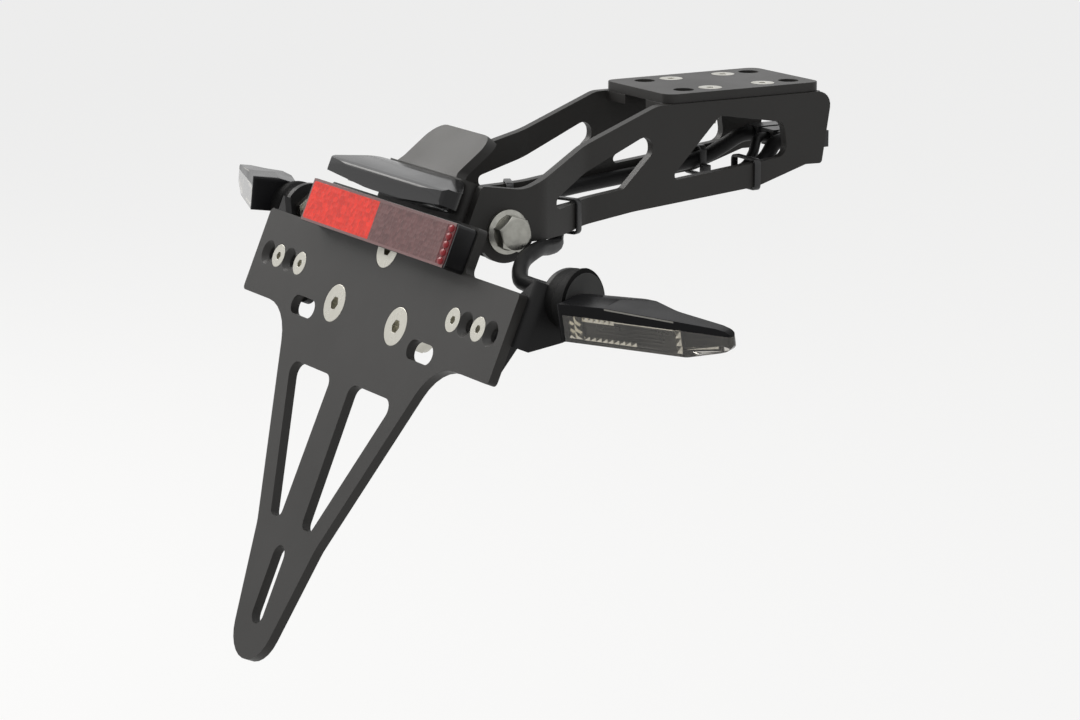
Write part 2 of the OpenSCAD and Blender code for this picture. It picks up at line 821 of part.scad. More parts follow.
module indicator_stem(set) {
    color([0.09, 0.09, 0.09]) difference() {
        stem_axis() union() {
            rod_x(set[3] - foot_step, wing_x, wing_x + foot_t);
            translate([wing_x + foot_t, 0, 0]) rotate([0, 90, 0])
                cylinder(r1 = set[3] - foot_step, r2 = set[3], h = 3);
            rod_x(set[3], wing_x + foot_t + 3, wing_x + foot_len + 8);
            rod_x(stem_r, wing_x - wing_t - stud_out, wing_x + 1);
        }
        indicator_frame(set) translate([0, -40, -30]) cube([60, 80, 60]);
        stem_axis() rod_x(lead_d / 2 + 0.15, wing_x - wing_t - stud_out - 1, wing_x + 4);
    }
}

module indicator_nut() {
    color(zinc) plate_frame() translate([wing_x - wing_t, stem_y, stem_z]) rotate([0, 0, 90])
        locking_nut(m8_nut, stem_r, 5);
}

module indicator_housing_right() { indicator_housing(set_right); }
module indicator_housing_left() { mirror([1, 0, 0]) indicator_housing(set_left); }
module indicator_lens_right() { indicator_lens(set_right); }
module indicator_lens_left() { mirror([1, 0, 0]) indicator_lens(set_left); }
module indicator_lamp_right() { indicator_lamp(set_right); }
module indicator_lamp_left() { mirror([1, 0, 0]) indicator_lamp(set_left); }
module indicator_stem_right() { indicator_stem(set_right); }
module indicator_stem_left() { mirror([1, 0, 0]) indicator_stem(set_left); }
module indicator_nut_right() { indicator_nut(); }
module indicator_nut_left() { mirror([1, 0, 0]) indicator_nut(); }

// Leads: each is one tube through points [x, y, z, radius] in the part's frame. The stretch on
// the tilting part ends by the pivot axis, and the stretch on the arms begins past a short gap.
lead_sides = 8;
lead_r = lead_d / 2;
sleeve_r = lead_r + 1;
lead_drop = 9.5;
connector = [9, 20, 7];
connector_x = 12;
mirror_x = [-1, 1, 1, 1];

// A point of the plate's frame, in the part's frame
function on_plate(p) = [
    p[0],
    (p[1] - pivot_ahead) * cos(lean) + (p[2] - pivot_up) * sin(lean) - pivot_back,
    (p[2] - pivot_up) * cos(lean) - (p[1] - pivot_ahead) * sin(lean) - pivot_drop];

// A point of the arms' frame, in the part's frame
function on_arm(x, y, z, r) = [x, y - pivot_back, z - pivot_drop, r];
function mix(a, b, t) = a + (b - a) * t;

stem_at = on_plate([wing_x, stem_y, stem_z]);
lead_exit = wing_x - wing_t - stud_out - 1.5;
loop_end = [arm_out + 16, -pivot_back - 2, -pivot_drop - lead_drop];
function loop_point(across_part, along_part) = [
    mix(lead_exit, loop_end[0], across_part),
    mix(stem_at[1], loop_end[1], along_part),
    mix(stem_at[2], loop_end[2], along_part),
    sleeve_r];
side_loop = [
    [wing_x - 5, stem_at[1], stem_at[2], lead_r],
    [lead_exit + 1.2, stem_at[1], stem_at[2], lead_r],
    loop_point(0, 0),
    loop_point(0.38, 0),
    loop_point(0.58, 0.05),
    loop_point(0.78, 0.42),
    loop_point(0.91, 0.74),
    loop_point(1, 1)];

lead_line = arm_front_out - arm_t - sleeve_r - 0.4;
front_z = arm_top - 22;
side_run = [
    on_arm(arm_out + 13.5, 1.8, -lead_drop, sleeve_r),
    on_arm(arm_out + 4.5, 12.8, -9.7, sleeve_r),
    on_arm(arm_out - 1.5, 20.5, -9.5, sleeve_r),
    on_arm(lead_line + 11.6, 26.8, -8.8, sleeve_r),
    on_arm(lead_line + 6, 30.3, -7.3, sleeve_r),
    on_arm(lead_line + 3.6, 32.4, -4.6, sleeve_r),
    on_arm(lead_line + 2.3, 35, -1.7, sleeve_r),
    on_arm(lead_line + 0.4, 40, 0.3, sleeve_r),
    on_arm(lead_line - 0.2, 48, 1.9, sleeve_r),
    on_arm(lead_line, 66, 4, sleeve_r),
    on_arm(lead_line, 98, 7, sleeve_r),
    on_arm(lead_line, hole_front - 23, 10.5, sleeve_r),
    on_arm(lead_line - 1.4, hole_front - 13, 14.5, sleeve_r),
    on_arm(connector_x + 1.4, hole_front - 6, front_z - 1, sleeve_r),
    on_arm(connector_x, hole_front - 1.5, front_z, sleeve_r),
    on_arm(connector_x, hole_front + 3, front_z, sleeve_r)];

light_loop = [
    [0, -pivot_back - 20.2, -pivot_drop + 14.4, lead_r],
    [0, -pivot_back - 13.3, -pivot_drop + 11.5, lead_r],
    [0, -pivot_back - 6.5, -pivot_drop + 7, lead_r],
    [0, -pivot_back - 1, -pivot_drop + 1.5, lead_r]];
light_line = lead_line - sleeve_r - lead_r - 0.2;
light_run = [
    on_arm(0, 0.4, -0.1, lead_r),
    on_arm(0.5, 9, -4.5, lead_r),
    on_arm(2, 21, -4.5, lead_r),
    on_arm(6, 37, -1, lead_r),
    on_arm(light_line - 2.8, 55, 2.5, lead_r),
    on_arm(light_line, 73, 4.7, lead_r),
    on_arm(light_line, 108, 8, lead_r),
    on_arm(light_line, hole_front - 22, 10.5, lead_r),
    on_arm(light_line - 4.8, hole_front - 13, 15, lead_r),
    on_arm(1, hole_front - 6, front_z - 0.5, lead_r),
    on_arm(0, hole_front - 1.5, front_z, lead_r),
    on_arm(0, hole_front + 3, front_z, lead_r)];

function place(p) = [p[0], p[1], p[2]];
function across(path) = [for (p = path) [for (i = [0:3]) p[i] * mirror_x[i]]];
function ring(p, t) =
    let(a = unit(cross(t, [0, -0.4, 1])), b = cross(t, a))
    [for (i = [0:lead_sides - 1])
        place(p) + p[3] * (cos(360 * i / lead_sides) * a + sin(360 * i / lead_sides) * b)];

module lead(path) {
    last = len(path) - 1;
    rings = [for (k = [0:last])
        each ring(path[k], unit(place(path[min(k + 1, last)]) - place(path[max(k - 1, 0)])))];
    skin = [for (k = [0:last - 1], i = [0:lead_sides - 1])
        let(a = k * lead_sides + i, b = k * lead_sides + (i + 1) % lead_sides)
        each [[a, a + lead_sides, b], [b, a + lead_sides, b + lead_sides]]];
    ends = [[for (i = [0:lead_sides - 1]) i], [for (i = [lead_sides - 1:-1:0]) last * lead_sides + i]];
    polyhedron(points = rings, faces = concat(skin, ends));
}

module lead_loop_right() { color([0.06, 0.06, 0.06]) lead(side_loop); }
module lead_loop_left() { color([0.06, 0.06, 0.06]) lead(across(side_loop)); }
module lead_loop_light() { color([0.06, 0.06, 0.06]) lead(light_loop); }
module lead_run_right() { color([0.06, 0.06, 0.06]) lead(side_run); }
module lead_run_left() { color([0.06, 0.06, 0.06]) lead(across(side_run)); }
module lead_run_light() { color([0.06, 0.06, 0.06]) lead(light_run); }

// Cable ties round an arm's lower rail and the leads behind it: the box inside each tie runs
// from x0 to x1 and from z0 to z1
tie_t = 1.2;
tie_w = 3;
tie_gap = 0.25;
tie_head = [4 - tie_t, tie_w + 1, 4.5];
tie_turn = 23.9;
rear_tie_y = 38;
front_tie_y = 126;
rear_tie_in = 13;
rear_tie_z = [-8.1, 7.4];
front_tie_z = [4.3, 15.9];

module tie(x0, x1, z0, z1) {
    translate([0, -tie_w / 2, 0]) difference() {
        translate([x0 - tie_t, 0, z0 - tie_t]) cube([x1 - x0 + 2 * tie_t, tie_w, z1 - z0 + 2 * tie_t]);
        translate([x0, -1, z0]) cube([x1 - x0, tie_w + 2, z1 - z0]);
    }
    translate([x0 - tie_t - tie_head[0], -tie_head[1] / 2, z0 - tie_t]) cube(tie_head);
}

module side_ties(front_in) {
    pivot_frame() {
        translate([arm_front_out + 2.2, rear_tie_y, 0]) rotate([0, 0, tie_turn])
            tie(-rear_tie_in, tie_gap, rear_tie_z[0], rear_tie_z[1]);
        translate([0, front_tie_y, 0])
            tie(front_in - tie_gap, arm_front_out + tie_gap, front_tie_z[0], front_tie_z[1]);
    }
}

module cable_ties() {
    color([0.07, 0.07, 0.07]) {
        side_ties(light_line - lead_r);
        mirror([1, 0, 0]) side_ties(lead_line - sleeve_r);
    }
}

// Connectors at the leads' front ends, each with a blind seat for its lead
seat_deep = 3.4;

module connector_block(x, r) {
    pivot_frame() translate([x, hole_front, front_z]) difference() {
        translate([-connector[0] / 2, 0, -connector[2] / 2]) cube(connector);
        rod_y(r + 0.15, -1, seat_deep);
    }
}

module lead_connectors() {
    color([0.12, 0.12, 0.12]) {
        both() connector_block(connector_x, sleeve_r);
        connector_block(0, lead_r);
    }
}

side_arm_right();
side_arm_left();
mounting_plate();
mounting_screws();
mounting_nuts();
pivot_bolt_right();
pivot_bolt_left();
pivot_washers();
pivot_nut_right();
pivot_nut_left();
tilt_bracket();
plate_carrier();
carrier_screws();
carrier_nuts();
indicator_bracket_right();
indicator_bracket_left();
bracket_screws();
bracket_nuts();
reflector_housing();
reflector_lens();
reflector_nuts();
plate_light_housing();
plate_light_lens();
plate_light_board();
plate_light_screws();
indicator_housing_right();
indicator_lens_right();
indicator_lamp_right();
indicator_stem_right();
indicator_nut_right();
indicator_housing_left();
indicator_lens_left();
indicator_lamp_left();
indicator_stem_left();
indicator_nut_left();
lead_loop_right();
lead_loop_left();
lead_loop_light();
lead_run_right();
lead_run_left();
lead_run_light();
cable_ties();
lead_connectors();
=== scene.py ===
import json
import math

import bpy
from mathutils import Matrix, Vector

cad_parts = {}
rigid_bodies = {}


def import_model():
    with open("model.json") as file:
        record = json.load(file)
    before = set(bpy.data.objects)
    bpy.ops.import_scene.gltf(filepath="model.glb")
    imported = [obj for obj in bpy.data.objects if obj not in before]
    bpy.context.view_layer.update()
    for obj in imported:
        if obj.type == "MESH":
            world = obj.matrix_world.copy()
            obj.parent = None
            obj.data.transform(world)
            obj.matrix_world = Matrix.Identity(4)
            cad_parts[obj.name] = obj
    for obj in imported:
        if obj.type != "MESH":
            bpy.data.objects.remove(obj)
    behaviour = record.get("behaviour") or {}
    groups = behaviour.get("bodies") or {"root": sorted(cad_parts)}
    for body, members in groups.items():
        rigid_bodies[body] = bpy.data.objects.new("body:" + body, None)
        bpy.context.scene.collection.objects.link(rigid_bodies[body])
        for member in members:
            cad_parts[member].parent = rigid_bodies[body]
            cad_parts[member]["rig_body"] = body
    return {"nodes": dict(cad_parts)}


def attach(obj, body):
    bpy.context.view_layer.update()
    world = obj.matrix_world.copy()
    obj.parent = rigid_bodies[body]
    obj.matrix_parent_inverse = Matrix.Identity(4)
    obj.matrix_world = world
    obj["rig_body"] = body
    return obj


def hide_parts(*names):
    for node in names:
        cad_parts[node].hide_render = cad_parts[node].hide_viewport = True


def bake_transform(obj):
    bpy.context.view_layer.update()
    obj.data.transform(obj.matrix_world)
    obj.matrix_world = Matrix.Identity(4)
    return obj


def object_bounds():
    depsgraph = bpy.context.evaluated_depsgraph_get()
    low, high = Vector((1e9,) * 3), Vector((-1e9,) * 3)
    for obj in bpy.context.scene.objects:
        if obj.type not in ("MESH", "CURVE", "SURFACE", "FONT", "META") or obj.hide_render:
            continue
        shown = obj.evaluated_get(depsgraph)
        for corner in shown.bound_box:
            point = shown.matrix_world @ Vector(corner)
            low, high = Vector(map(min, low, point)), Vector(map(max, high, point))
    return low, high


# The whole tail tidy hangs from the four bolts of its mounting plate. It is loaded here as the
# fixed frame, and every piece below is dressed in place around it, in metres.
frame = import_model()
nodes = frame["nodes"]
solid_low, solid_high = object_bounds()
bpy.ops.object.select_all(action="DESELECT")


# The view: a long lens behind and to the right of the object, a little above it, looking at
# the middle of the tidy from the place where the photograph was taken.
camera_place = Vector((1.2285, -0.8091, 0.2116))
looked_at = Vector((0.004, -0.088, -0.109))
bpy.ops.object.camera_add(location=camera_place)
camera = bpy.context.object
camera.rotation_mode = "QUATERNION"
camera.rotation_quaternion = (looked_at - camera_place).to_track_quat("-Z", "Y")
camera.data.lens = 118
camera.data.clip_start = 0.02
camera.data.clip_end = 60
bpy.context.scene.camera = camera
bpy.context.scene.view_settings.view_transform = "Standard"
bpy.ops.object.select_all(action="DESELECT")


# The studio: a wide pale floor well under the hanging tidy, one broad soft lamp behind the
# rear left, a smaller one above, and a dim room all round.
def seen_or_mirrored(tree):
    """One for a ray from the camera, off a glossy surface or through glass, and nought otherwise."""
    path = tree.nodes.new("ShaderNodeLightPath")
    total = path.outputs["Is Camera Ray"]
    for kind in ("Is Glossy Ray", "Is Transmission Ray"):
        larger = tree.nodes.new("ShaderNodeMath")
        larger.operation = "MAXIMUM"
        tree.links.new(total, larger.inputs[0])
        tree.links.new(path.outputs[kind], larger.inputs[1])
        total = larger.outputs[0]
    return total


floor_z = solid_low.z - 0.26
floor_glow = 0.72
room_light = 0.65
bpy.ops.mesh.primitive_plane_add(size=30, location=(0, 0, floor_z))
floor = bpy.context.object
floor.name = "studio_floor"
paper = bpy.data.materials.new("pale_paper")
paper.use_nodes = True
tree = paper.node_tree
tree.nodes.clear()
out = tree.nodes.new("ShaderNodeOutputMaterial")
mix = tree.nodes.new("ShaderNodeMixShader")
glow = tree.nodes.new("ShaderNodeEmission")
glow.inputs["Color"].default_value = (1, 1, 1, 1)
matt = tree.nodes.new("ShaderNodeBsdfDiffuse")
matt.inputs["Color"].default_value = (0.86, 0.86, 0.85, 1)
half_glow = tree.nodes.new("ShaderNodeMath")
half_glow.operation = "MULTIPLY"
half_glow.inputs[1].default_value = floor_glow
tree.links.new(seen_or_mirrored(tree), half_glow.inputs[0])
tree.links.new(half_glow.outputs[0], mix.inputs[0])
tree.links.new(matt.outputs[0], mix.inputs[1])
tree.links.new(glow.outputs[0], mix.inputs[2])
tree.links.new(mix.outputs[0], out.inputs["Surface"])
floor.data.materials.append(paper)

room = bpy.data.worlds.new("soft_room")
room.use_nodes = True
bpy.context.scene.world = room
tree = room.node_tree
tree.nodes.clear()
out = tree.nodes.new("ShaderNodeOutputWorld")
mix = tree.nodes.new("ShaderNodeMixShader")
seen = tree.nodes.new("ShaderNodeBackground")
seen.inputs["Color"].default_value = (1, 1, 1, 1)
seen.inputs["Strength"].default_value = 1.0
fill = tree.nodes.new("ShaderNodeBackground")
fill.inputs["Strength"].default_value = room_light
place = tree.nodes.new("ShaderNodeTexCoord")
lean_to = tree.nodes.new("ShaderNodeVectorMath")
lean_to.operation = "DOT_PRODUCT"
lean_to.inputs[1].default_value = (-0.62, -0.70, 0.28)
ramp = tree.nodes.new("ShaderNodeValToRGB")
ramp.color_ramp.elements[0].position = 0.0
ramp.color_ramp.elements[0].color = (0.30, 0.31, 0.33, 1)
ramp.color_ramp.elements[1].position = 0.8
ramp.color_ramp.elements[1].color = (1, 0.99, 0.97, 1)
spread = tree.nodes.new("ShaderNodeMapRange")
spread.inputs["From Min"].default_value = -1
spread.inputs["From Max"].default_value = 1
tree.links.new(place.outputs["Generated"], lean_to.inputs[0])
tree.links.new(lean_to.outputs["Value"], spread.inputs["Value"])
tree.links.new(spread.outputs["Result"], ramp.inputs["Fac"])
tree.links.new(ramp.outputs["Color"], fill.inputs["Color"])
tree.links.new(seen_or_mirrored(tree), mix.inputs[0])
tree.links.new(fill.outputs[0], mix.inputs[1])
tree.links.new(seen.outputs[0], mix.inputs[2])
tree.links.new(mix.outputs[0], out.inputs["Surface"])

for name, spot, size, power, colour in (
        ("left_lamp", (-1.45, -0.6, 1.0), 1.2, 17, (1.0, 0.98, 0.95)),
        ("top_lamp", (0.1, -0.3, 1.7), 0.9, 6, (0.97, 0.98, 1.0))):
    bpy.ops.object.light_add(type="AREA", location=spot)
    lamp = bpy.context.object
    lamp.name = name
    lamp.rotation_mode = "QUATERNION"
    lamp.rotation_quaternion = (looked_at - Vector(spot)).to_track_quat("-Z", "Y")
    lamp.data.shape = "DISK"
    lamp.data.size = size
    lamp.data.energy = power
    lamp.data.color = colour
bpy.ops.object.select_all(action="DESELECT")


# Sheet metal: the plate carrier, tilt bracket, arms, mounting plate and indicator brackets are
# cut and folded steel with a satin black powder coat, which rounds every cut edge a little.
def shader_of(material):
    return next(n for n in material.node_tree.nodes if n.type == "BSDF_PRINCIPLED")


def grain_group():
    """Fine grain of a coat or a moulded surface, with soft patches of sheen and colour."""
    group = bpy.data.node_groups.get("surface_grain")
    if group:
        return group
    group = bpy.data.node_groups.new("surface_grain", "ShaderNodeTree")
    face = group.interface
    for label, value in (("Grain Scale", 900.0), ("Grain Depth", 0.2), ("Patch Scale", 28.0),
                         ("Sheen Low", 0.4), ("Sheen High", 0.55), ("Shade", 0.12)):
        socket = face.new_socket(name=label, in_out="INPUT", socket_type="NodeSocketFloat")
        socket.default_value = value
    dark = face.new_socket(name="Base", in_out="INPUT", socket_type="NodeSocketColor")
    dark.default_value = (0.03, 0.03, 0.03, 1)
    face.new_socket(name="Color", in_out="OUTPUT", socket_type="NodeSocketColor")
    face.new_socket(name="Roughness", in_out="OUTPUT", socket_type="NodeSocketFloat")
    face.new_socket(name="Normal", in_out="OUTPUT", socket_type="NodeSocketVector")
    made = group.nodes
    link = group.links.new
    entry = made.new("NodeGroupInput")
    leave = made.new("NodeGroupOutput")
    where = made.new("ShaderNodeTexCoord")
    fine = made.new("ShaderNodeTexNoise")
    fine.inputs["Detail"].default_value = 3
    link(where.outputs["Object"], fine.inputs["Vector"])
    link(entry.outputs["Grain Scale"], fine.inputs["Scale"])
    raise_it = made.new("ShaderNodeBump")
    raise_it.inputs["Distance"].default_value = 0.0001
    link(entry.outputs["Grain Depth"], raise_it.inputs["Strength"])
    link(fine.outputs["Fac"], raise_it.inputs["Height"])
    link(raise_it.outputs["Normal"], leave.inputs["Normal"])
    broad = made.new("ShaderNodeTexNoise")
    broad.inputs["Detail"].default_value = 5
    link(where.outputs["Object"], broad.inputs["Vector"])
    link(entry.outputs["Patch Scale"], broad.inputs["Scale"])
    sheen = made.new("ShaderNodeMapRange")
    sheen.inputs["From Min"].default_value = 0.3
    sheen.inputs["From Max"].default_value = 0.7
    link(broad.outputs["Fac"], sheen.inputs["Value"])
    link(entry.outputs["Sheen Low"], sheen.inputs["To Min"])
    link(entry.outputs["Sheen High"], sheen.inputs["To Max"])
    link(sheen.outputs["Result"], leave.inputs["Roughness"])
    lift = made.new("ShaderNodeMath")
    lift.operation = "MULTIPLY"
    link(broad.outputs["Fac"], lift.inputs[0])
    link(entry.outputs["Shade"], lift.inputs[1])
    less = made.new("ShaderNodeMath")
    less.operation = "SUBTRACT"
    less.inputs[0].default_value = 1.0
    link(lift.outputs[0], less.inputs[1])
    tint = made.new("ShaderNodeVectorMath")
    tint.operation = "SCALE"
    link(entry.outputs["Base"], tint.inputs[0])
    link(less.outputs[0], tint.inputs["Scale"])
    link(tint.outputs["Vector"], leave.inputs["Color"])
    return group


def surface(name, base, metallic=0.0, specular=0.5, coat=0.0, **grain):
    """A Principled material fed by the grain group, with its own values."""
    material = bpy.data.materials.new(name)
    material.use_nodes = True
    tree = material.node_tree
    body = shader_of(material)
    body.inputs["Metallic"].default_value = metallic
    body.inputs["Specular IOR Level"].default_value = specular
    body.inputs["Coat Weight"].default_value = coat
    body.inputs["Coat Roughness"].default_value = 0.12
    part = tree.nodes.new("ShaderNodeGroup")
    part.node_tree = grain_group()
    part.inputs["Base"].default_value = (*base, 1)
    for key, value in grain.items():
        part.inputs[key.replace("_", " ").title()].default_value = value
    tree.links.new(part.outputs["Color"], body.inputs["Base Color"])
    tree.links.new(part.outputs["Roughness"], body.inputs["Roughness"])
    tree.links.new(part.outputs["Normal"], body.inputs["Normal"])
    return material


def outer_skin(piece):
    """Keeps a piece's outside and drops the closed hollow inside it."""
    lowest = min(piece.data.vertices, key=lambda corner: corner.co.z).index
    bpy.ops.object.mode_set(mode="EDIT")
    bpy.ops.mesh.select_all(action="DESELECT")
    bpy.ops.object.mode_set(mode="OBJECT")
    piece.data.vertices[lowest].select = True
    bpy.ops.object.mode_set(mode="EDIT")
    bpy.ops.mesh.select_mode(type="VERT")
    bpy.ops.mesh.select_linked()
    bpy.ops.mesh.select_all(action="INVERT")
    bpy.ops.mesh.delete(type="VERT")
    bpy.ops.object.mode_set(mode="OBJECT")


def dressed(node, edge, segments=2, smooth=32, sharp=35, within=None):
    """A copy of a frame piece, kept within another shape, with its sharp edges rounded."""
    copy = bpy.data.objects.new(node + "_dressed", nodes[node].data.copy())
    bpy.context.scene.collection.objects.link(copy)
    copy.data.materials.clear()
    bpy.ops.object.select_all(action="DESELECT")
    bpy.context.view_layer.objects.active = copy
    copy.select_set(True)
    bpy.ops.object.mode_set(mode="EDIT")
    bpy.ops.mesh.select_all(action="SELECT")
    bpy.ops.mesh.remove_doubles(threshold=0.000004)
    bpy.ops.mesh.dissolve_limited(angle_limit=math.radians(0.4), delimit={"NORMAL"})
    bpy.ops.object.mode_set(mode="OBJECT")
    if within:
        outer_skin(copy)
        kept = copy.modifiers.new("kept", "BOOLEAN")
        kept.operation = "INTERSECT"
        kept.solver = "EXACT"
        kept.object = within
        bpy.ops.object.modifier_apply(modifier="kept")
    rounding = copy.modifiers.new("rounding", "BEVEL")
    rounding.width = edge
    rounding.segments = segments
    rounding.limit_method = "ANGLE"
    rounding.angle_limit = math.radians(sharp)
    bpy.ops.object.modifier_apply(modifier="rounding")
    bpy.ops.object.shade_smooth_by_angle(angle=math.radians(smooth))
    even = copy.modifiers.new("even", "WEIGHTED_NORMAL")
    even.weight = 100
    even.keep_sharp = True
    bpy.ops.object.modifier_apply(modifier="even")
    bpy.ops.object.select_all(action="DESELECT")
    return copy


def settle(piece, node, material):
    """The dressed piece stands for its node and rides where the node rides."""
    piece.data.materials.append(material)
    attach(piece, nodes[node]["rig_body"])
    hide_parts(node)


black_coat = surface("satin_black_coat", (0.0345, 0.0332, 0.0315), specular=0.26, grain_scale=1500,
                     grain_depth=0.28, patch_scale=24, sheen_low=0.42, sheen_high=0.5, shade=0.25)
# The indicator brackets get a darker copy of the same satin black coat: the extra darkness is painted
# shade, not a blacker finish.
shaded_coat = surface("shade_darkened_black_coat", (0.014, 0.014, 0.0145), specular=0.16, grain_scale=1500,
                      grain_depth=0.28, patch_scale=24, sheen_low=0.4, sheen_high=0.5, shade=0.25)
for node, edge, coat in (("plate_carrier", 0.0004, black_coat), ("tilt_bracket", 0.0006, black_coat),
                         ("side_arm_right", 0.0004, black_coat), ("side_arm_left", 0.0004, black_coat),
                         ("mounting_plate", 0.0004, black_coat),
                         ("indicator_bracket_right", 0.0008, shaded_coat),
                         ("indicator_bracket_left", 0.0008, shaded_coat)):
    settle(dressed(node, edge), node, coat)


# Fasteners: countersunk socket screws, hexagon flange bolts, washers and locking nuts, all
# bright zinc plated steel with a faint grey bloom.
zinc = surface("bright_zinc", (0.62, 0.605, 0.54), metallic=1.0, grain_scale=700, grain_depth=0.12,
               patch_scale=160, sheen_low=0.22, sheen_high=0.4, shade=0.35)
bolt_zinc = surface("dull_zinc", (0.45, 0.445, 0.405), metallic=1.0, grain_scale=420, grain_depth=0.5,
                    patch_scale=260, sheen_low=0.26, sheen_high=0.46, shade=0.5)
for side in ("right", "left"):
    settle(dressed("pivot_bolt_" + side, 0.0004, sharp=28, smooth=25), "pivot_bolt_" + side, bolt_zinc)
for node, edge in (("pivot_nut_right", 0.0003), ("pivot_nut_left", 0.0003),
                   ("pivot_washers", 0.0002), ("carrier_screws", 0.0002),
                   ("carrier_nuts", 0.0003), ("bracket_screws", 0.00015),
                   ("bracket_nuts", 0.0002), ("mounting_screws", 0.00015),
                   ("mounting_nuts", 0.0002), ("reflector_nuts", 0.0002),
                   ("plate_light_screws", 0.0002), ("indicator_nut_right", 0.0002),
                   ("indicator_nut_left", 0.0002)):
    settle(dressed(node, edge, sharp=28, smooth=25), node, zinc)


# Reflector: a moulded black box with a red lens set in its face. The lens has fine corner
# prisms in two fields, and a narrow strip of five round ones at its right end.
lean = math.radians(23)
tilt_line = Vector((0, -0.123, -0.0465))
lens_corner = Vector((0, -0.0267, -0.0216))
shoulder = (Matrix.Translation(tilt_line) @ Matrix.Rotation(-lean, 4, "X")
            @ Matrix.Translation(lens_corner))
field_edge = -0.0025
strip_edge = 0.0535
dot_count = 5
dot_step = 0.00328
gloss_black = surface("gloss_black_plastic", (0.010, 0.010, 0.011), specular=0.3, grain_scale=400,
                      grain_depth=0.05, patch_scale=40, sheen_low=0.16, sheen_high=0.26, shade=0.2)
settle(dressed("reflector_housing", 0.0004), "reflector_housing", gloss_black)


def lens_red():
    """Red lens: prisms left and right of the middle line, then the dotted end strip."""
    material = surface("red_prism_lens", (0.8, 0.04, 0.02), specular=0.16, coat=0.12, grain_scale=600,
                       grain_depth=0.1, patch_scale=300, sheen_low=0.2, sheen_high=0.35, shade=0.3)
    tree = material.node_tree
    body = shader_of(material)
    body.inputs["Coat Roughness"].default_value = 0.04
    link = tree.links.new
    where = tree.nodes.new("ShaderNodeTexCoord")
    turn = tree.nodes.new("ShaderNodeMapping")
    turn.inputs["Rotation"].default_value = (lean, 0, 0)
    link(where.outputs["Object"], turn.inputs["Vector"])
    axes = tree.nodes.new("ShaderNodeSeparateXYZ")
    link(turn.outputs["Vector"], axes.inputs[0])
    flat = tree.nodes.new("ShaderNodeCombineXYZ")
    link(axes.outputs["X"], flat.inputs["X"])
    link(axes.outputs["Z"], flat.inputs["Y"])
    prisms = tree.nodes.new("ShaderNodeTexVoronoi")
    prisms.voronoi_dimensions = "2D"
    prisms.inputs["Scale"].default_value = 560
    prisms.inputs["Randomness"].default_value = 0.6
    link(flat.outputs[0], prisms.inputs["Vector"])
    speck = tree.nodes.new("ShaderNodeMapRange")
    speck.inputs["To Min"].default_value = 0.7
    speck.inputs["To Max"].default_value = 1.14
    link(prisms.outputs["Color"], speck.inputs["Value"])
    halves = tree.nodes.new("ShaderNodeMath")
    halves.operation = "GREATER_THAN"
    halves.inputs[1].default_value = field_edge
    link(axes.outputs["X"], halves.inputs[0])
    field = tree.nodes.new("ShaderNodeMix")
    field.data_type = "RGBA"
    field.inputs["A"].default_value = (0.86, 0.032, 0.014, 1)
    field.inputs["B"].default_value = (0.165, 0.078, 0.077, 1)
    link(halves.outputs[0], field.inputs["Factor"])
    strip = tree.nodes.new("ShaderNodeMath")
    strip.operation = "GREATER_THAN"
    strip.inputs[1].default_value = strip_edge
    link(axes.outputs["X"], strip.inputs[0])
    ended = tree.nodes.new("ShaderNodeMix")
    ended.data_type = "RGBA"
    ended.inputs["B"].default_value = (0.110, 0.005, 0.008, 1)
    link(field.outputs["Result"], ended.inputs["A"])
    link(strip.outputs[0], ended.inputs["Factor"])
    tint = tree.nodes.new("ShaderNodeVectorMath")
    tint.operation = "SCALE"
    link(ended.outputs["Result"], tint.inputs[0])
    link(speck.outputs["Result"], tint.inputs["Scale"])
    link(tint.outputs["Vector"], body.inputs["Base Color"])
    ridge = tree.nodes.new("ShaderNodeBump")
    ridge.inputs["Strength"].default_value = 0.2
    ridge.inputs["Distance"].default_value = 0.0004
    link(prisms.outputs["Distance"], ridge.inputs["Height"])
    link(ridge.outputs["Normal"], body.inputs["Normal"])
    return material


settle(dressed("reflector_lens", 0.0003), "reflector_lens", lens_red())
bpy.ops.mesh.primitive_cube_add(size=1)
border = bpy.context.object
border.name = "reflector_border"
border.data.transform(shoulder @ Matrix.Translation((-0.0006, -0.00892, 0.00825))
                      @ Matrix.Diagonal((0.1202, 0.0003, 0.0179, 1)))
border.data.materials.append(surface("lens_border_mauve", (0.22, 0.115, 0.115), specular=0.3,
                                     grain_scale=500, grain_depth=0.05, patch_scale=90, sheen_low=0.2,
                                     sheen_high=0.35, shade=0.15))
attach(border, "tilt")
bpy.ops.object.select_all(action="DESELECT")
dot_red = surface("red_lens_dots", (0.27, 0.010, 0.016), specular=0.22, grain_scale=900,
                  grain_depth=0.05, patch_scale=200, sheen_low=0.1, sheen_high=0.2, shade=0.2)
for number in range(dot_count):
    bpy.ops.mesh.primitive_uv_sphere_add(segments=24, ring_count=12, radius=0.0016)
    dot = bpy.context.object
    dot.name = f"reflector_dot_{number + 1}"
    dot.data.transform(Matrix.Diagonal((1.3, 0.45, 1, 1)))
    dot.data.transform(shoulder @ Matrix.Translation((0.0568, -0.0091, 0.0017 + dot_step * number)))
    bpy.ops.object.shade_smooth()
    dot.data.materials.append(dot_red)
    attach(dot, "tilt")
    bpy.ops.object.select_all(action="DESELECT")


